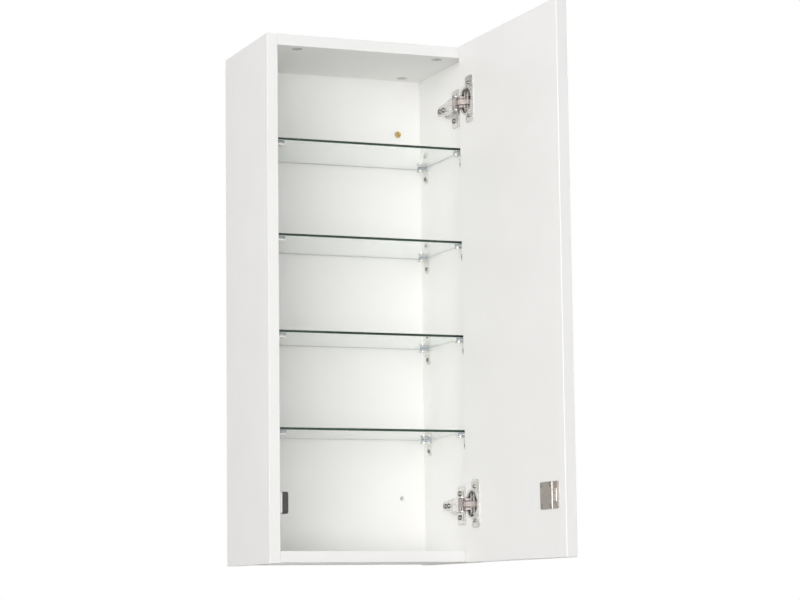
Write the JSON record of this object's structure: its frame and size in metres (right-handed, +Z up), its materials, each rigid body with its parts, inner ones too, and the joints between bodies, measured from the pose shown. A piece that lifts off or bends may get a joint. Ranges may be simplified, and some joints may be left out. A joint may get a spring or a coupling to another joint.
{
  "type": "medicine cabinet",
  "caption": "Tall narrow white wall cabinet with glass shelves and a plain door on concealed hinges, shown open.",
  "frame": {"origin": "on the wall plane, in the middle of the four wall-fixing holes", "axes": "+X to the right as seen from the room, +Y into the wall, +Z up"},
  "size_m": [0.3, 0.4819, 0.7],
  "materials": {
    "white_lacquer": "smooth satin white lacquer on board",
    "beech": "raw beech with lengthwise grain",
    "brass": "bright turned brass",
    "zinc": "bright zinc casting",
    "shelf_glass": "clear float glass, dark green in its depth",
    "clear_pad": "clear soft plastic",
    "nickel": "bright nickel plate",
    "link_steel": "brown-grey plated spring steel",
    "screw_steel": "bright screw steel",
    "keeper_nickel": "satin nickel plate",
    "magnet_dark": "dark moulded housing",
    "mount_light": "light moulded plastic"
  },
  "bodies": {
    "cabinet": {"left_side_board": "white_lacquer", "right_side_board": "white_lacquer", "top_board": "white_lacquer", "bottom_board": "white_lacquer", "back_board": "white_lacquer", "wall_bushes": "brass", "cam_locks": "zinc", "cam_bolts": "screw_steel", "corner_dowels": "beech", "back_dowels": "beech", "glass_shelf_1": "shelf_glass", "glass_shelf_2": "shelf_glass", "glass_shelf_3": "shelf_glass", "glass_shelf_4": "shelf_glass", "shelf_brackets_1": "nickel", "shelf_brackets_2": "nickel", "shelf_brackets_3": "nickel", "shelf_brackets_4": "nickel", "shelf_pads": "clear_pad", "bracket_screws": "screw_steel", "magnet_mount": "mount_light", "magnet_block": "magnet_dark", "magnet_screws": "screw_steel", "upper_mounting_plate": "nickel", "upper_plate_screws": "screw_steel", "upper_hinge_arm": "nickel", "upper_arm_screws": "screw_steel", "upper_arm_pins": "screw_steel", "lower_mounting_plate": "nickel", "lower_plate_screws": "screw_steel", "lower_hinge_arm": "nickel", "lower_arm_screws": "screw_steel", "lower_arm_pins": "screw_steel"},
    "outer_links": {"upper_outer_link": "link_steel", "upper_closing_spring": "screw_steel", "lower_outer_link": "link_steel", "lower_closing_spring": "screw_steel"},
    "inner_links": {"upper_inner_link": "link_steel", "lower_inner_link": "link_steel"},
    "door": {"door_board": "white_lacquer", "keeper_plate": "keeper_nickel", "keeper_screws": "screw_steel", "keeper_bar": "nickel", "upper_hinge_cup": "nickel", "upper_cup_pins": "screw_steel", "upper_cup_screws": "screw_steel", "lower_hinge_cup": "nickel", "lower_cup_pins": "screw_steel", "lower_cup_screws": "screw_steel"}
  },
  "joints": [
    {"name": "outer_link_swing", "type": "hinge", "parent": "cabinet", "child": "outer_links", "pos_m": [0.119, -0.17903, 0], "axis": [0, 0, 1], "range_deg": [-1.9, 46.6]},
    {"name": "door_swing", "type": "hinge", "parent": "outer_links", "child": "door", "pos_m": [0.12704, -0.19662, 0], "axis": [0, 0, 1], "range_deg": [-137.8, 5.5]},
    {"name": "inner_link_swing", "type": "hinge", "parent": "cabinet", "child": "inner_links", "pos_m": [0.119, -0.18545, 0], "axis": [0, 0, 1], "range_deg": [-1.6, 38]}
  ],
  "couplings": [
    {"joint": "outer_link_swing", "follows": "door_swing", "ratio": -0.33754},
    {"joint": "inner_link_swing", "follows": "door_swing", "ratio": -0.27513}
  ]
}
